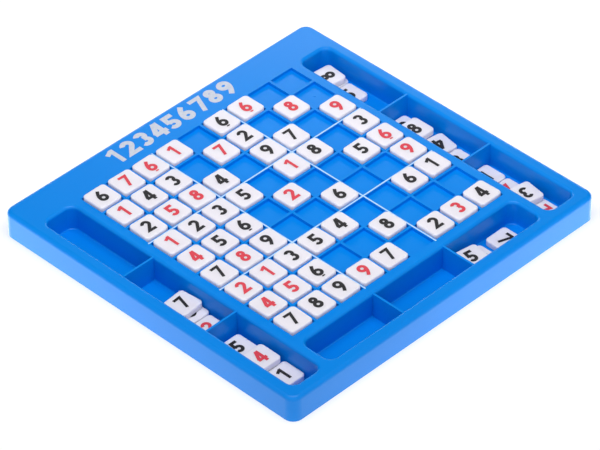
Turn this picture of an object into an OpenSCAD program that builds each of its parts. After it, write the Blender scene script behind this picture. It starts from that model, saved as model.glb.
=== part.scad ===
// Sudoku board: one moulded board with nine by nine pockets, three divided trays and loose number tiles.
// X runs along the rows, Y runs towards the bare head strip and Z is up.
// The origin lies on the table, under the middle of the board.

/* [Grid] */
// Distance from one pocket to the next
pitch = 20; // [18:0.5:24]
// Width of the ribs between the pockets
rib_w = 1.8; // [1.2:0.1:3]
// Depth of a pocket below the deck
pocket_depth = 2.3; // [1.5:0.1:3.5]
// Thickness of the floor under the pockets
pocket_floor_t = 1.8; // [1.2:0.1:3]
// Radius of the moulding gate's mark in one pocket
gate_r = 0.9; // [0.5:0.1:1.5]
// Depth of the moulding gate's mark
gate_depth = 0.3; // [0.1:0.1:0.8]

/* [Tiles] */
// Thickness of a number tile
tile_t = 4.4; // [3.6:0.1:6]
// Radius of a tile's upright corners
tile_corner_r = 2.6; // [1.5:0.1:4]
// Rounding of a tile's top edge
tile_edge_r = 0.9; // [0.4:0.1:1.4]
// Rounding of a tile's bottom edge
tile_foot_r = 0.6; // [0.3:0.1:1]
// Play between a tile and each side of its pocket
tile_play = 0.4; // [0.2:0.05:0.6]

/* [Board] */
// Height of the deck above the table
board_h = 18; // [15:0.2:22]
// Thickness of the deck
deck_t = 2; // [1.4:0.1:3]
// Thickness of the outer wall and of the tray walls
wall_t = 2.2; // [1.9:0.1:3]
// Width of the bare strip between the grid and the back edge
head_strip = 25.5; // [18:0.5:40]
// Width of the rim outside the trays
rim_w = 9.2; // [7:0.2:16]
// Radius of the board's upright corners
corner_r = 6.8; // [4:0.2:9]
// Rounding of the board's outer top edge
edge_r = 2.8; // [0.8:0.1:3.5]

/* [Trays] */
// Width of the land between the grid and a tray
tray_land = 6.4; // [5:0.2:12]
// Width of a tray from wall to wall
tray_w = 23; // [21:0.2:30]
// Thickness of a tray's floor
tray_floor_t = 1.2; // [1:0.1:2.4]
// Radius of a tray's upright corners
tray_corner_r = 5.5; // [3:0.1:8]
// Rounding of a tray's rim
tray_rim_r = 2; // [0.8:0.1:2.4]
// Rounding where a tray's wall meets its floor
tray_foot_r = 1; // [0.4:0.1:1.2]
// Thickness of a divider at its top
divider_t = 1.4; // [1:0.1:2.4]
// Slope of a divider's sides, in degrees
divider_draft = 1.6; // [0.5:0.1:3]
// Drop of a divider's top below the deck
divider_drop = 0.4; // [0.2:0.1:0.7]
// Gap between a loose tile and a tray's wall when it lies against it
lie_gap = 0.5; // [0.4:0.05:1]
// Air between two loose tiles that lie on each other
stack_gap = 0.05; // [0.02:0.01:0.2]

/* [Underside] */
// Thickness of the stiffening webs
web_t = 1.2; // [0.8:0.1:2]
// Gap between the webs and the table
web_lift = 1; // [0.5:0.1:3]

/* [Hidden] */
$fn = 64;

// A sudoku grid has nine rows of nine, in blocks of three.
cells = 9;
block = 3;
middle_cell = (cells + 1) / 2;

// One string for each row, from the head strip towards the player. A # is a pocket with a tile.
LAYOUT = [
    "####.##..",
    "###.##.#.",
    "####.##.#",
    "####.##.#",
    "###.#..##",
    "###..#..#",
    "#####..##",
    "###..#...",
    "#####.###"
];
filled_cells = [for (row = [1:cells], col = [1:cells]) if (LAYOUT[row - 1][col - 1] == "#") [row, col]];

// The tile that was dropped in askew, and the pocket that shows the moulding gate's mark
askew_cell = [3, 3];
gate_cell = [2, 9];

// Pockets and tiles
grid_w = cells * pitch;
pocket_w = pitch - rib_w;
field_edge = (grid_w - rib_w) / 2;
tile_w = pocket_w - 2 * tile_play;
tile_flat = tile_w / 2 - tile_corner_r;
pocket_z = board_h - pocket_depth;
plate_z = pocket_z - pocket_floor_t;

// Places measured from the middle of the grid
tray_near = grid_w / 2 + tray_land;
tray_far = tray_near + tray_w;
tray_middle = (tray_near + tray_far) / 2;
edge = tray_far + rim_w;
back_edge = grid_w / 2 + head_strip;
board_w = 2 * edge;
board_d = edge + back_edge;
grid_y = (edge - back_edge) / 2;
side_tray_len = field_edge + tray_far;
front_tray_len = 2 * field_edge;

// Dividers share a tray's length equally and spread towards the floor.
compartments = 3;
divider_top_z = board_h - divider_drop;
divider_foot_z = tray_floor_t / 2;
divider_spread = (divider_top_z - divider_foot_z) * tan(divider_draft);
divider_base = divider_t + 2 * divider_spread;

// How far a tray's rounded rim stands back at the height of the dividers' tops
rim_back = tray_rim_r - sqrt(pow(tray_rim_r, 2) - pow(tray_rim_r - divider_drop, 2));

// Width that a tray's wall and its rounded rim take up in the deck
rim_band = max(wall_t, tray_rim_r);

// Loose tiles as they lie in the trays: compartment counted from the tray's start, distance along it in
// tile widths, share of the room from wall to wall, layer, and turn in degrees.
LEFT_LOOSE = [
    [0, 1.19, 0.95, 0, 0],
    [0, 2.22, -0.1, 0, 0],
    [0, 2.15, -0.1, 1, 0],
    [0, 3.25, 0.1, 0, 0],
    [1, 0.57, 0.25, 0, 0],
    [1, 1.61, 0.95, 0, 0],
    [1, 1.9, 0.9, 1, 5]
];
RIGHT_LOOSE = [
    [0, 0.75, -0.8, 0, 0],
    [0, 1.63, -0.95, 1, -9],
    [0, 2.36, -0.85, 0, 0],
    [0, 3.4, -0.7, 0, 0],
    [1, 0.66, -0.9, 0, 0],
    [1, 1.76, 0.5, 0, -9],
    [1, 3.3, -0.45, 0, 0],
    [1, 2.74, -0.95, 1, 0],
    [2, 2.01, -0.7, 0, 0],
    [2, 3.04, -0.1, 0, 0],
    [2, 3.09, -0.95, 1, -5]
];
FRONT_LOOSE = [
    [2, 0.98, -0.5, 0, 0],
    [2, 2.27, -0.15, 0, 0],
    [2, 0.6, -0.3, 1, 9]
];

function tile_name(cell) = str("tile_r", cell[0], "_c", cell[1]);

// Middle of a pocket, measured from the middle of the grid
function cell_place(cell) = [(cell[1] - middle_cell) * pitch, (middle_cell - cell[0]) * pitch, 0];

// A tile lies a little off its pocket's middle and a little turned, within its play.
shift_share = 0.35;
turn_share = 0.4;
askew_share = 0.85;
function turn_for(share) = asin(share * tile_play / tile_flat);
function seat_shift(cell) =
    cell == askew_cell ? [0, 0, 0]
    : shift_share * tile_play * [sin(97 * cell[0] + 41 * cell[1]), cos(61 * cell[0] - 83 * cell[1]), 0];
function seat_turn(cell) =
    cell == askew_cell ? -turn_for(askew_share)
    : turn_for(turn_share) * sin(53 * cell[0] + 119 * cell[1]);

// How far a turned tile reaches from its middle, and the room that is left for it beside a tray's middle line
function tile_reach(turn) = tile_flat * (cos(turn) + abs(sin(turn))) + tile_corner_r;
function side_room(turn) = tray_w / 2 - tile_reach(turn) - lie_gap;

// Quarter of a disc between the two positive axes
module quarter_disc(r) {
    intersection() {
        circle(r);
        square(r);
    }
}

// Places its children at the four corners of a rectangle, each turned to face outwards
module at_corners(w, d) {
    for (turn = [0:3]) {
        x = (turn == 0 || turn == 3) ? w / 2 : -w / 2;
        y = turn < 2 ? d / 2 : -d / 2;
        translate([x, y]) rotate(90 * turn) children();
    }
}

// Flat rectangle with round corners
module round_rectangle(w, d, r) {
    square([w - 2 * r, d], center = true);
    for (side = [-1, 1])
        translate([side * (w - r) / 2, 0]) square([r, d - 2 * r], center = true);
    at_corners(w - 2 * r, d - 2 * r) quarter_disc(r);
}

// Carries a flat section round a rectangle with round corners.
// The section's X starts at the middle of the corner's arc and points outwards, and its Y is up.
module swept_rectangle(w, d, r) {
    flat_w = w - 2 * r;
    flat_d = d - 2 * r;
    at_corners(flat_w, flat_d) rotate_extrude(angle = 90) children();
    for (turn = [0:3]) {
        along = turn % 2 == 0 ? flat_d : flat_w;
        out = turn % 2 == 0 ? flat_w / 2 : flat_d / 2;
        rotate(90 * turn) translate([out, along / 2, 0]) rotate([90, 0, 0]) linear_extrude(along) children();
    }
}

// Section through a tile's edge
module tile_section() {
    edge_u = tile_corner_r - tile_edge_r;
    edge_z = tile_t - tile_edge_r;
    foot_u = tile_corner_r - tile_foot_r;
    square([foot_u, tile_foot_r]);
    translate([foot_u, tile_foot_r]) rotate(-90) quarter_disc(tile_foot_r);
    translate([0, tile_foot_r]) square([tile_corner_r, edge_z - tile_foot_r]);
    translate([0, edge_z]) square([edge_u, tile_edge_r]);
    translate([edge_u, edge_z]) quarter_disc(tile_edge_r);
}

// Number tile, standing on Z = 0
module tile() {
    swept_rectangle(tile_w, tile_w, tile_corner_r) tile_section();
    translate([-tile_flat, -tile_flat, 0]) cube([2 * tile_flat, 2 * tile_flat, tile_t]);
}

// Tile in its pocket
module seated_tile(cell) {
    color("whitesmoke")
        translate([0, grid_y, pocket_z] + cell_place(cell) + seat_shift(cell)) rotate(seat_turn(cell)) tile();
}

// Loose tiles in a tray that runs along +Y from Y = 0 and is centred on X = 0
module loose_tiles(places, tray_len) {
    step = tray_len / compartments;
    for (place = places) {
        start = place[0] * step + (place[0] == 0 ? 0 : divider_base / 2);
        along = start + place[1] * tile_w;
        across = place[2] * side_room(place[4]);
        up = tray_floor_t + place[3] * (tile_t + stack_gap);
        translate([across, along, up]) rotate(place[4]) tile();
    }
}

module at_left_tray() {
    translate([-tray_middle, grid_y - tray_far, 0]) children();
}

module at_right_tray() {
    translate([tray_middle, grid_y - tray_far, 0]) children();
}

module at_front_tray() {
    translate([-field_edge, grid_y - tray_middle, 0]) rotate(-90) mirror([1, 0, 0]) children();
}

module left_tray_tiles() {
    color("whitesmoke") at_left_tray() loose_tiles(LEFT_LOOSE, side_tray_len);
}

module right_tray_tiles() {
    color("whitesmoke") at_right_tray() loose_tiles(RIGHT_LOOSE, side_tray_len);
}

module front_tray_tiles() {
    color("whitesmoke") at_front_tray() loose_tiles(FRONT_LOOSE, front_tray_len);
}

// Section through the outer wall, with its rounded top edge
module wall_section() {
    inner = corner_r - wall_t;
    translate([inner, 0]) square([wall_t, board_h - edge_r]);
    translate([corner_r - edge_r, board_h - edge_r]) quarter_disc(edge_r);
    if (wall_t > edge_r)
        translate([inner, board_h - edge_r]) square([wall_t - edge_r, edge_r]);
}

// Section through a tray's wall and floor, with its rounded rim and foot
module tray_section() {
    rim_z = board_h - tray_rim_r;
    foot_z = tray_floor_t + tray_foot_r;
    foot_u = tray_corner_r - tray_foot_r;
    difference() {
        square([tray_corner_r + wall_t, rim_z]);
        translate([0, foot_z]) square([tray_corner_r, board_h]);
        translate([0, tray_floor_t]) square([foot_u, tray_foot_r]);
        translate([foot_u, foot_z]) rotate(-90) quarter_disc(tray_foot_r);
    }
    translate([tray_corner_r + tray_rim_r, rim_z]) rotate(90) quarter_disc(tray_rim_r);
    if (wall_t > tray_rim_r)
        translate([tray_corner_r + tray_rim_r, rim_z]) square([wall_t - tray_rim_r, tray_rim_r]);
}

// Wall between two compartments, across a tray that runs along Y
module divider() {
    half_len = (tray_w + rim_back + wall_t) / 2;
    translate([-half_len, 0, 0]) rotate([90, 0, 90]) linear_extrude(2 * half_len)
        polygon([
            [-divider_base / 2, divider_foot_z],
            [divider_base / 2, divider_foot_z],
            [divider_t / 2, divider_top_z],
            [-divider_t / 2, divider_top_z]
        ]);
}

// Tray with its dividers, along +Y from Y = 0 and centred on X = 0
module tray(tray_len) {
    translate([0, tray_len / 2, 0]) {
        swept_rectangle(tray_w, tray_len, tray_corner_r) tray_section();
        translate([-tray_w / 2 + tray_corner_r, -tray_len / 2 + tray_corner_r, 0])
            cube([tray_w - 2 * tray_corner_r, tray_len - 2 * tray_corner_r, tray_floor_t]);
    }
    for (number = [1:compartments - 1])
        translate([0, number * tray_len / compartments, 0]) divider();
}

// Opening that a tray leaves in the deck, to the outside of its wall and its rounded rim
module tray_opening(tray_len) {
    translate([0, tray_len / 2])
        round_rectangle(tray_w + 2 * rim_band, tray_len + 2 * rim_band, tray_corner_r + rim_band);
}

// Deck round the grid and the trays
module deck() {
    translate([0, 0, board_h - deck_t]) linear_extrude(deck_t) difference() {
        round_rectangle(board_w - 2 * edge_r, board_d - 2 * edge_r, corner_r - edge_r);
        translate([0, grid_y]) square(grid_w, center = true);
        at_left_tray() tray_opening(side_tray_len);
        at_right_tray() tray_opening(side_tray_len);
        at_front_tray() tray_opening(front_tray_len);
    }
}

// Plate with the nine by nine pockets
module pocket_plate() {
    difference() {
        translate([-grid_w / 2, -grid_w / 2, plate_z]) cube([grid_w, grid_w, board_h - plate_z]);
        for (row = [1:cells], col = [1:cells])
            translate(cell_place([row, col]) - [pocket_w / 2, pocket_w / 2, -pocket_z])
                cube([pocket_w, pocket_w, 2 * pocket_depth]);
        translate(cell_place(gate_cell) + [0, 0, pocket_z - gate_depth]) cylinder(r = gate_r, h = 2 * gate_depth);
    }
}

// Stiffening webs under the pocket plate, one below each rib
module webs() {
    hole = pitch - web_t;
    translate([0, 0, web_lift]) linear_extrude(plate_z - web_lift) difference() {
        square(grid_w + web_t, center = true);
        for (row = [1:cells], col = [1:cells])
            translate(cell_place([row, col])) square(hole, center = true);
    }
}

// Webs that carry on from the block lines under the head strip
module head_webs() {
    from = (grid_w + web_t) / 2;
    to = back_edge - wall_t;
    for (line = [0:block])
        translate([(line - block / 2) * block * pitch - web_t / 2, from, web_lift])
            cube([web_t, to - from, board_h - deck_t - web_lift]);
}

module board() {
    color("dodgerblue") {
        swept_rectangle(board_w, board_d, corner_r) wall_section();
        deck();
        translate([0, grid_y, 0]) {
            pocket_plate();
            webs();
            head_webs();
        }
        at_left_tray() tray(side_tray_len);
        at_right_tray() tray(side_tray_len);
        at_front_tray() tray(front_tray_len);
    }
}

board();
for (cell = filled_cells)
    seated_tile(cell);
left_tray_tiles();
front_tray_tiles();
right_tray_tiles();
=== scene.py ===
import math
from typing import NamedTuple

import bmesh
import bpy
from mathutils import Matrix, Vector

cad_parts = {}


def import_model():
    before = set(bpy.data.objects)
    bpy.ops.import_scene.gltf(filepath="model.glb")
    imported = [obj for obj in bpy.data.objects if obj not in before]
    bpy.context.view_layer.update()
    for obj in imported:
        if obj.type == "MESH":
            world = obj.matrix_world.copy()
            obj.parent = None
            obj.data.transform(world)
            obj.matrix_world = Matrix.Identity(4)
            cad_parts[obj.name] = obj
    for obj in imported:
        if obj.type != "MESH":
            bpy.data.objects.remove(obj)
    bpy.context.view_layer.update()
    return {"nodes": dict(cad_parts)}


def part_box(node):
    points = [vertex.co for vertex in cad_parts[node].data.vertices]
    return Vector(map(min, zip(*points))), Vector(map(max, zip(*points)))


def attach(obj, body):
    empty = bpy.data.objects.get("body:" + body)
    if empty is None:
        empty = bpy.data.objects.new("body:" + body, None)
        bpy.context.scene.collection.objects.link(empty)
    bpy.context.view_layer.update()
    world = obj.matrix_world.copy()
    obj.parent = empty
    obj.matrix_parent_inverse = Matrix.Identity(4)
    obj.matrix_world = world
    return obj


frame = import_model()


class Print(NamedTuple):
    """A size of print. The stroke is a share of the height, and the shift leads away from the middle."""
    height: float
    stroke: float
    stretch: float
    shift: tuple


class Grain(NamedTuple):
    """A noise: its features to a metre, and how many finer octaves it has."""
    scale: float
    detail: float


class Lamp(NamedTuple):
    """A soft lamp, in metres and watts."""
    name: str
    place: tuple
    aim: tuple
    width: float
    height: float
    power: float


# The board's own sizes, in metres
PITCH = 0.020
CELLS = 9
BLOCK = 3
HEAD_STRIP = 0.0255
BOARD_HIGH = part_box("board")[1]
DECK_Z = BOARD_HIGH.z
GRID_HALF = CELLS * PITCH / 2
GRID_CENTRE = Vector((0, BOARD_HIGH.y - HEAD_STRIP - GRID_HALF, DECK_Z))

# Print on the tiles and on the board, in metres
TILE_PRINT = Print(height=0.0103, stroke=0.208, stretch=1, shift=(-0.0004, 0.0003))
HEAD_PRINT = Print(height=0.0140, stroke=0.245, stretch=1.14, shift=(0, 0))
HEAD_ROW_LENGTH = 0.0936
HEAD_MIDDLE_FROM_BACK = 0.0119
LINE_WIDTH = 0.0009
INK_ABOVE = 0.00003
INK_BELOW = 0.00010
LAYER_STEP = 0.000004

# One string for each row from the head strip to the player. k is black, r is red, _ is a short mark
# under the number, and two dots are a bare pocket.
GRID = [
    "6k 7r 6r_ 1r .. 6k_ 6r_ .. ..",
    "1r 4k 3k .. 7r 2k .. 8r ..",
    "2k 5r 8r 4k .. 9k 7k .. 9r",
    "1r 2k 3k 5k .. 1r 8k .. 3k",
    "4r 5k 6k_ .. 2r .. .. 5k 6r_",
    "7k 8r 9k .. .. 6k .. .. 9r",
    "2r 1r 3k 5k 4k .. .. 6k 1k",
    "4r 5r 6k_ .. .. 8k .. .. ..",
    "7k 8k 9k 9r 7k .. 2k 3r 4k",
]

# The numbers on the loose tiles, and how far each number is turned on the board, in quarter turns.
# The tiles of a tray are counted from its player's end, or from the left, and lower tiles come first.
LOOSE = {
    "left_tray_tiles": ["1k0", "4r0", "4k0", "5k0", "2r0", "6k0", "7k0"],
    "front_tray_tiles": ["5k0", "7k1", "7k3"],
    "right_tray_tiles": ["7r3", "3k2", "7r0", "1k0", "3k0", "4k2", "8k0", "6k2", "5k0", "2k0", "8k1"],
}


# Node trees

RAMP_START = 0.3
RAMP_END = 0.7
BUMP_STRENGTH = 0.3


def add(owner, kind, **values):
    """A node in a material's or world's tree, with its input sockets set."""
    node = owner.node_tree.nodes.new(kind)
    for socket, value in values.items():
        node.inputs[socket.replace("_", " ")].default_value = value
    return node


def link(owner, output, socket):
    owner.node_tree.links.new(output, socket)


def new_material(name):
    """A material with an empty node tree, its output and one Principled shader."""
    material = bpy.data.materials.new(name)
    material.use_nodes = True
    material.node_tree.nodes.clear()
    output = add(material, "ShaderNodeOutputMaterial")
    shader = add(material, "ShaderNodeBsdfPrincipled")
    link(material, shader.outputs["BSDF"], output.inputs["Surface"])
    return material, shader


def noise(material, grain):
    """Noise by the place on the object."""
    place = add(material, "ShaderNodeTexCoord")
    texture = add(material, "ShaderNodeTexNoise", Scale=grain.scale, Detail=grain.detail)
    link(material, place.outputs["Object"], texture.inputs["Vector"])
    return texture.outputs["Fac"]


def ramp(material, factor, low, high):
    """A smooth ramp between two colours."""
    node = add(material, "ShaderNodeValToRGB")
    first, last = node.color_ramp.elements
    first.position = RAMP_START
    first.color = (*low, 1)
    last.position = RAMP_END
    last.color = (*high, 1)
    link(material, factor, node.inputs["Fac"])
    return node.outputs["Color"]


def spread(owner, value, low, high, start=0, end=1):
    """Maps a value from start..end to low..high."""
    node = add(owner, "ShaderNodeMapRange", From_Min=start, From_Max=end, To_Min=low, To_Max=high)
    link(owner, value, node.inputs["Value"])
    return node.outputs["Result"]


def bump(material, shader, height, depth):
    node = add(material, "ShaderNodeBump", Distance=depth, Strength=BUMP_STRENGTH)
    link(material, height, node.inputs["Height"])
    link(material, node.outputs["Normal"], shader.inputs["Normal"])


def along(owner, vector, way):
    """How far a vector reaches along a way."""
    node = add(owner, "ShaderNodeVectorMath")
    node.operation = "DOT_PRODUCT"
    node.inputs[1].default_value = way
    link(owner, vector, node.inputs[0])
    return node.outputs["Value"]


def by_ray(owner, others, camera):
    """One shader for what the camera sees, and another for all other rays."""
    ray = add(owner, "ShaderNodeLightPath")
    mix = add(owner, "ShaderNodeMixShader")
    link(owner, ray.outputs["Is Camera Ray"], mix.inputs["Fac"])
    link(owner, others, mix.inputs[1])
    link(owner, camera, mix.inputs[2])
    return mix.outputs["Shader"]


# Materials

def surface(name, colours, clouds, roughness, gloss, skin, skin_depth):
    """A finish whose colour drifts in clouds, whose gloss is uneven and whose skin has a fine grain."""
    material, shader = new_material(name)
    link(material, ramp(material, noise(material, clouds), *colours), shader.inputs["Base Color"])
    link(material, spread(material, noise(material, gloss), *roughness), shader.inputs["Roughness"])
    bump(material, shader, noise(material, skin), skin_depth)
    return material, shader


def board_plastic():
    """Glossy blue moulding with faint flow clouds."""
    material, shader = surface(
        "board_plastic",
        colours=((0.0, 0.222, 0.75), (0.0, 0.236, 0.78)),
        clouds=Grain(scale=14, detail=2),
        roughness=(0.26, 0.33),
        gloss=Grain(scale=160, detail=4),
        skin=Grain(scale=900, detail=2),
        skin_depth=0.000004,
    )
    shader.inputs["Specular IOR Level"].default_value = 0.2
    return material


def tile_plastic():
    """White moulded plastic, a little cool, with a soft sheen. Light passes through its edges."""
    material, shader = surface(
        "tile_plastic",
        colours=((0.79, 0.765, 0.835), (0.83, 0.805, 0.87)),
        clouds=Grain(scale=70, detail=2),
        roughness=(0.30, 0.44),
        gloss=Grain(scale=240, detail=4),
        skin=Grain(scale=1500, detail=2),
        skin_depth=0.00002,
    )
    shader.inputs["IOR"].default_value = 1.49
    shader.inputs["Subsurface Weight"].default_value = 0.8
    shader.inputs["Subsurface Radius"].default_value = (1, 0.95, 0.95)
    shader.inputs["Subsurface Scale"].default_value = 0.003
    return material


def ink(name, low, high, roughness):
    """Printed ink: slightly uneven in tone and gloss."""
    material, shader = surface(
        name,
        colours=(low, high),
        clouds=Grain(scale=800, detail=3),
        roughness=roughness,
        gloss=Grain(scale=1400, detail=3),
        skin=Grain(scale=2500, detail=2),
        skin_depth=0.000005,
    )
    shader.inputs["Specular IOR Level"].default_value = 0.2
    return material


BOARD_PLASTIC = board_plastic()
TILE_PLASTIC = tile_plastic()
INKS = {
    "k": ("black_print", ink("black_ink", (0.018, 0.017, 0.020), (0.028, 0.026, 0.030), (0.44, 0.58))),
    "r": ("red_print", ink("red_ink", (0.64, 0.048, 0.073), (0.73, 0.064, 0.092), (0.44, 0.58))),
    "w": ("white_print", ink("white_ink", (0.42, 0.64, 0.90), (0.56, 0.75, 0.94), (0.39, 0.53))),
    "s": ("silver_print", ink("silver_ink", (0.50, 0.54, 0.64), (0.59, 0.62, 0.70), (0.34, 0.48))),
}


# Digits, drawn as strokes in a box that is 1 high. The sizes of their round parts are outer radii.

MIDDLE = 0.33
LOOP_OUT = 0.315
BOWL_OUT = 0.305
SMALL_OUT = 0.265
ARC_STEP = math.radians(9)
BOW_STEPS = 10
UNDER_MARK = ([(MIDDLE - 0.10, -0.10), (MIDDLE + 0.12, -0.10)], False)
UNDER_MARK_WIDTH = 0.095
STRAIGHT_DIGITS = "17"
STRAIGHT_SHARE = 0.9
SHARPEST_MITRE = 0.45


def arc(x, y, r, start, end):
    """Points on an arc, with its angles in degrees."""
    a, b = math.radians(start), math.radians(end)
    steps = max(2, math.ceil(abs(b - a) / ARC_STEP))
    turns = [a + (b - a) * i / steps for i in range(steps + 1)]
    return [(x + r * math.cos(t), y + r * math.sin(t)) for t in turns]


def ring(x, y, r):
    return arc(x, y, r, 0, 360)[:-1]


def bow(start, pull, end):
    """Points on a curve that leaves start towards pull and comes to end from there."""
    points = []
    for i in range(BOW_STEPS + 1):
        t = i / BOW_STEPS
        weights = ((1 - t) ** 2, 2 * t * (1 - t), t ** 2)
        points.append(tuple(sum(w * p[k] for w, p in zip(weights, (start, pull, end))) for k in (0, 1)))
    return points


def six(width):
    r = LOOP_OUT - width / 2
    tail = bow((MIDDLE - r, LOOP_OUT), (MIDDLE - r, 0.60), (MIDDLE + 0.10, 0.965))
    return [(ring(MIDDLE, LOOP_OUT, r), True), (tail, False)]


def eight(width):
    upper = ring(MIDDLE, 1 - SMALL_OUT, SMALL_OUT - width / 2)
    lower = ring(MIDDLE, BOWL_OUT, BOWL_OUT - width / 2)
    return [(upper, True), (lower, True)]


def nine(width):
    """A six, turned by half a turn."""
    return [([(2 * MIDDLE - x, 1 - y) for x, y in path], closed) for path, closed in six(width)]


def open_strokes(digit, width):
    """The middle lines of a digit that has no closed loop."""
    half = width / 2
    loop_r = LOOP_OUT - half
    bowl_r = BOWL_OUT - half
    top = 1 - half
    strokes = {
        "1": [[(0.10, 0.74), (MIDDLE + 0.05, 0.90)], [(MIDDLE + 0.07, 0), (MIDDLE + 0.07, 1)]],
        "2": [[*arc(MIDDLE, 1 - LOOP_OUT, loop_r, 168, -38), (0.13, half), (0.64, half)]],
        "3": [arc(0.31, 1.01 - BOWL_OUT, bowl_r - 0.01, 155, -90), arc(0.31, BOWL_OUT, bowl_r, 90, -155)],
        "4": [[(0.43, 0.97), (0.10, 0.31)], [(0.035, 0.29), (0.66, 0.29)], [(0.47, 0), (0.47, 1)]],
        "5": [[(0.60, top), (0.20, top), (0.175, 0.44)], arc(0.30, LOOP_OUT, loop_r, 138, -155)],
        "7": [[(0.07, top), (0.57, top), (0.25, 0)]],
    }
    return [(path, False) for path in strokes[digit]]


def digit_strokes(digit, width):
    """The middle lines of a digit's strokes, each with whether it is closed."""
    looped = {"6": six, "8": eight, "9": nine}
    if digit in looped:
        return looped[digit](width)
    return open_strokes(digit, width)


def sides(points, closed, width):
    """The two sides of a stroke, with its corners mitred."""
    count = len(points)
    left, right = [], []
    for i, point in enumerate(points):
        here = Vector(point)
        before = Vector(points[i - 1]) if closed or i > 0 else None
        after = Vector(points[(i + 1) % count]) if closed or i < count - 1 else None
        into = (here - before).normalized() if before else (after - here).normalized()
        out = (after - here).normalized() if after else into
        middle = (into + out).normalized()
        normal = Vector((-middle.y, middle.x))
        reach = width / 2 / max(SHARPEST_MITRE, middle.dot(into))
        left.append(here + normal * reach)
        right.append(here - normal * reach)
    return left, right


# Printed pieces

def add_band(mesh, left, right, closed, top, bottom):
    """A flat band between two rows of points, as a closed slab."""
    rows = [[mesh.verts.new((p.x, p.y, z)) for p in side] for side in (left, right) for z in (top, bottom)]
    left_top, left_low, right_top, right_low = rows
    count = len(left)
    for i in range(count if closed else count - 1):
        j = (i + 1) % count
        mesh.faces.new((right_top[i], right_top[j], left_top[j], left_top[i]))
        mesh.faces.new((left_low[i], left_low[j], right_low[j], right_low[i]))
        mesh.faces.new((left_top[i], left_top[j], left_low[j], left_low[i]))
        mesh.faces.new((right_low[i], right_low[j], right_top[j], right_top[i]))
    if not closed:
        mesh.faces.new((left_top[0], left_low[0], right_low[0], right_top[0]))
        mesh.faces.new((right_top[-1], right_low[-1], left_low[-1], left_top[-1]))


def piece(name, mesh, ink_name, body):
    """Makes an object of a finished mesh, which rides on a body."""
    bmesh.ops.recalc_face_normals(mesh, faces=mesh.faces)
    data = bpy.data.meshes.new(name)
    mesh.to_mesh(data)
    mesh.free()
    obj = bpy.data.objects.new(name, data)
    bpy.context.scene.collection.objects.link(obj)
    slot, material = INKS[ink_name]
    data.materials.append(material)
    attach(obj, body)


def printed_digit(name, mark, size, place, turn, body):
    """A digit printed flat at place, by its mark: the digit, its ink and whether a short line is under it."""
    digit, ink_name = mark[:2]
    pen = size.stroke * STRAIGHT_SHARE if digit in STRAIGHT_DIGITS else size.stroke
    paths = [(*path, pen) for path in digit_strokes(digit, pen)]
    if mark.endswith("_"):
        paths.append((*UNDER_MARK, UNDER_MARK_WIDTH))
    mesh = bmesh.new()
    for layer, (points, closed, width) in enumerate(paths):
        middle_line = [((x - MIDDLE) * size.stretch, y - 0.5) for x, y in points]
        left, right = ([p * size.height for p in side] for side in sides(middle_line, closed, width))
        add_band(mesh, left, right, closed, INK_ABOVE + layer * LAYER_STEP, -INK_BELOW)
    shift = Matrix.Translation((*size.shift, 0))
    to_place = Matrix.Translation(place) @ Matrix.Rotation(turn, 4, "Z") @ shift
    bmesh.ops.transform(mesh, matrix=to_place, verts=mesh.verts)
    piece(name, mesh, ink_name, body)


# Where the tiles lie

TURN_STEP = math.radians(0.25)
TURN_STEPS = 60
# Decimals of a metre to which two points are one, and to which tiles lie at one place along a tray
SAME_POINT_DIGITS = 6
SAME_PLACE_DIGITS = 4


def loose_pieces(obj):
    """The points of each separate solid in a node."""
    data = obj.data
    owner = list(range(len(data.vertices)))

    def first(i):
        while owner[i] != i:
            owner[i] = owner[owner[i]]
            i = owner[i]
        return i

    seen = {}
    for vertex in data.vertices:
        key = tuple(round(c, SAME_POINT_DIGITS) for c in vertex.co)
        owner[first(vertex.index)] = first(seen.setdefault(key, vertex.index))
    for edge in data.edges:
        owner[first(edge.vertices[0])] = first(edge.vertices[1])
    groups = {}
    for vertex in data.vertices:
        groups.setdefault(first(vertex.index), []).append(vertex.co.copy())
    return list(groups.values())


def tile_place(points):
    """The middle of a tile's top, and the small turn at which its sides are narrowest."""
    def width(turn):
        across = [p.x * math.cos(turn) + p.y * math.sin(turn) for p in points]
        return max(across) - min(across)

    turns = [step * TURN_STEP for step in range(-TURN_STEPS, TURN_STEPS + 1)]
    turn = min(turns, key=width)
    low = [min(p[k] for p in points) for k in range(3)]
    high = [max(p[k] for p in points) for k in range(3)]
    return Vector(((low[0] + high[0]) / 2, (low[1] + high[1]) / 2, high[2])), turn


def print_pocket_tiles():
    """Numbers on the tiles in the pockets."""
    for row, line in enumerate(GRID, 1):
        for col, mark in enumerate(line.split(), 1):
            if mark == "..":
                continue
            node = f"tile_r{row}_c{col}"
            points = [v.co for v in frame["nodes"][node].data.vertices]
            place, turn = tile_place(points)
            printed_digit(f"number_r{row}_c{col}", mark, TILE_PRINT, place, turn, node)


def print_loose_tiles():
    """Numbers on the loose tiles in the trays."""
    for node, marks in LOOSE.items():
        axis = 0 if node.startswith("front") else 1
        tiles = [tile_place(points) for points in loose_pieces(frame["nodes"][node])]
        tiles.sort(key=lambda tile: (round(tile[0][axis], SAME_PLACE_DIGITS), tile[0].z))
        for number, (mark, (place, turn)) in enumerate(zip(marks, tiles), 1):
            name = f"{node.removesuffix('_tiles')}_number_{number}"
            turned = turn + int(mark[2]) * math.pi / 2
            printed_digit(name, mark, TILE_PRINT, place, turned, node)


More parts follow.
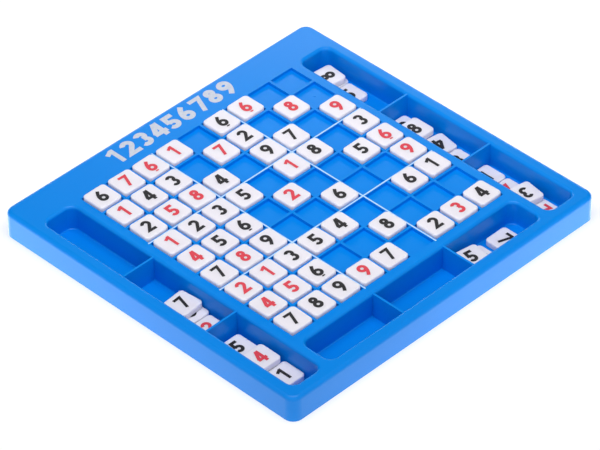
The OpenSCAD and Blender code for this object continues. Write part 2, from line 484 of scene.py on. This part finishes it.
def print_lines():
    """White lines between the blocks, printed on the ribs."""
    mesh = bmesh.new()
    line = BLOCK * PITCH / 2
    half = LINE_WIDTH / 2
    stops = [-GRID_HALF, -line - half, -line + half, line - half, line + half, GRID_HALF]
    bands = [(x - half, x + half, -GRID_HALF, GRID_HALF) for x in (-line, line)]
    for y in (-line, line):
        bands += [(stops[i], stops[i + 1], y - half, y + half) for i in (0, 2, 4)]
    for x0, x1, y0, y1 in bands:
        left = [Vector((x0, y0)), Vector((x0, y1))]
        right = [Vector((x1, y0)), Vector((x1, y1))]
        add_band(mesh, left, right, False, INK_ABOVE, -INK_BELOW)
    bmesh.ops.transform(mesh, matrix=Matrix.Translation(GRID_CENTRE), verts=mesh.verts)
    piece("block_lines", mesh, "w", "board")


def print_head_strip():
    """A plain row of numerals on the head strip."""
    step = HEAD_ROW_LENGTH / (CELLS - 1)
    y = BOARD_HIGH.y - HEAD_MIDDLE_FROM_BACK
    for number in range(1, CELLS + 1):
        place = Vector(((number - (CELLS + 1) / 2) * step, y, DECK_Z))
        printed_digit(f"head_number_{number}", f"{number}s", HEAD_PRINT, place, 0, "board")


def dress_nodes():
    for name, node in frame["nodes"].items():
        node.data.materials.clear()
        node.data.materials.append(BOARD_PLASTIC if name == "board" else TILE_PLASTIC)


# Floor, surroundings and lamps

FLOOR_SIZE = 6.0
PAPER_GRAIN = Grain(scale=3, detail=2)
PAPER_DARK = (0.93, 0.93, 0.93)
PAPER_PALE = (0.95, 0.95, 0.95)
PAPER_ROUGHNESS = 0.9
PAPER_SPECULAR = 0.1
# How strongly the paper glows to the camera, and the share of its glow beside its own shading
PAPER_SEEN = 1.2
GLOW_SHARE = 0.5
# A painted pool of light: to other rays the paper glows as no lamp does, growing this way, over these metres,
# from the near corner to the middle of the board. The glow lights the board, and reflections see it brighter.
POOL_WAY = (0.7071, 0.7071, 0)
POOL_REACH = (-0.19, 0)
POOL_STRENGTH = (1.35, 3.5)
POOL_MIRRORED = 1.7
# The surroundings are brightest towards this side, in front of the board and above it
BRIGHT_SIDE = (-0.61, -0.61, 0.5)
BRIGHT_REACH = (-0.3, 0.9)
BRIGHT_STRENGTH = (0.03, 0.8)
BACKDROP_STRENGTH = 0.95
WHITE = (1, 1, 1, 1)
# One lamp hangs close above the board, and a low one is mirrored on the far side of the deck
LAMPS = [
    Lamp("overhead", place=(-0.06, -0.06, 0.62), aim=(0.4, 0.4, 0), width=0.5, height=0.5, power=3.15),
    Lamp("panel", place=(0.318, 0.318, 0.215), aim=(0, 0, 0.215), width=0.5, height=0.09, power=0.6),
]


def painted_pool_light(material):
    """A painted pool of light: glow on the floor that lights the board and is brighter still in its
    reflections.
    """
    place = add(material, "ShaderNodeTexCoord")
    way = along(material, place.outputs["Object"], POOL_WAY)
    ray = add(material, "ShaderNodeLightPath")
    strength = add(material, "ShaderNodeMath")
    strength.operation = "MULTIPLY"
    link(material, spread(material, way, *POOL_STRENGTH, *POOL_REACH), strength.inputs[0])
    link(material, spread(material, ray.outputs["Is Glossy Ray"], 1, POOL_MIRRORED), strength.inputs[1])
    light = add(material, "ShaderNodeEmission")
    link(material, strength.outputs["Value"], light.inputs["Strength"])
    return light.outputs["Emission"]


def floor_paper():
    """Paper that glows: white to the camera where the object casts no shadow, and a painted pool of light to
    other rays.
    """
    material, paper = new_material("floor_paper")
    tone = ramp(material, noise(material, PAPER_GRAIN), PAPER_DARK, PAPER_PALE)
    link(material, tone, paper.inputs["Base Color"])
    paper.inputs["Roughness"].default_value = PAPER_ROUGHNESS
    paper.inputs["Specular IOR Level"].default_value = PAPER_SPECULAR
    seen = add(material, "ShaderNodeEmission", Strength=PAPER_SEEN)
    # To every ray but the camera's, the paper glows with a painted pool of light, which shows brighter in
    # reflections
    glow = by_ray(material, painted_pool_light(material), seen.outputs["Emission"])
    mix = add(material, "ShaderNodeMixShader", Fac=GLOW_SHARE)
    link(material, paper.outputs["BSDF"], mix.inputs[1])
    link(material, glow, mix.inputs[2])
    output = material.node_tree.get_output_node("ALL")
    link(material, mix.outputs["Shader"], output.inputs["Surface"])
    return material


def floor():
    half = FLOOR_SIZE / 2
    data = bpy.data.meshes.new("floor")
    corners = [(-half, -half, 0), (half, -half, 0), (half, half, 0), (-half, half, 0)]
    data.from_pydata(corners, [], [(0, 1, 2, 3)])
    data.materials.append(floor_paper())
    obj = bpy.data.objects.new("floor", data)
    bpy.context.scene.collection.objects.link(obj)


def world():
    """A studio that is bright in front of the board and above it, dim behind it, and white to the camera."""
    studio = bpy.data.worlds.new("studio")
    studio.use_nodes = True
    studio.node_tree.nodes.clear()
    direction = add(studio, "ShaderNodeTexCoord")
    facing = along(studio, direction.outputs["Generated"], BRIGHT_SIDE)
    walls = add(studio, "ShaderNodeBackground", Color=WHITE)
    link(studio, spread(studio, facing, *BRIGHT_STRENGTH, *BRIGHT_REACH), walls.inputs["Strength"])
    backdrop = add(studio, "ShaderNodeBackground", Color=WHITE, Strength=BACKDROP_STRENGTH)
    seen = by_ray(studio, walls.outputs["Background"], backdrop.outputs["Background"])
    output = add(studio, "ShaderNodeOutputWorld")
    link(studio, seen, output.inputs["Surface"])
    bpy.context.scene.world = studio


def lights():
    """Soft lamps that don't show themselves."""
    for lamp in LAMPS:
        data = bpy.data.lights.new(lamp.name, "AREA")
        data.shape = "RECTANGLE"
        data.size = lamp.width
        data.size_y = lamp.height
        data.energy = lamp.power
        obj = bpy.data.objects.new(lamp.name, data)
        obj.location = lamp.place
        obj.rotation_euler = (Vector(lamp.aim) - Vector(lamp.place)).to_track_quat("-Z", "Y").to_euler()
        obj.visible_camera = False
        bpy.context.scene.collection.objects.link(obj)


# Camera

CAMERA_AZIMUTH = math.radians(-44.78)
CAMERA_ELEVATION = math.radians(39.82)
CAMERA_ROLL = -0.0136
CAMERA_DISTANCE = 123.4 * PITCH
CAMERA_AIM = GRID_CENTRE + Vector((-0.775, -1.104, 0)) * PITCH
CAMERA_FOCAL_PX = 4169
CAMERA_FAR = 20
IMAGE_WIDTH_PX = 600
SENSOR_MM = 36


def camera():
    """A long lens that looks down on the near corner, as in the photograph."""
    back = Vector((
        math.sin(CAMERA_AZIMUTH) * math.cos(CAMERA_ELEVATION),
        -math.cos(CAMERA_AZIMUTH) * math.cos(CAMERA_ELEVATION),
        math.sin(CAMERA_ELEVATION),
    ))
    right = (-back).cross(Vector((0, 0, 1))).normalized()
    up = back.cross(right)
    turned_right = right * math.cos(CAMERA_ROLL) + up * math.sin(CAMERA_ROLL)
    turned_up = up * math.cos(CAMERA_ROLL) - right * math.sin(CAMERA_ROLL)
    data = bpy.data.cameras.new("camera")
    data.sensor_width = SENSOR_MM
    data.lens = CAMERA_FOCAL_PX / IMAGE_WIDTH_PX * SENSOR_MM
    data.clip_end = CAMERA_FAR
    obj = bpy.data.objects.new("camera", data)
    place = Matrix((turned_right, turned_up, back)).transposed().to_4x4()
    place.translation = CAMERA_AIM + back * CAMERA_DISTANCE
    obj.matrix_world = place
    bpy.context.scene.collection.objects.link(obj)
    bpy.context.scene.camera = obj


dress_nodes()
print_pocket_tiles()
print_loose_tiles()
print_lines()
print_head_strip()
floor()
world()
lights()
camera()
bpy.context.scene.view_settings.view_transform = "Standard"
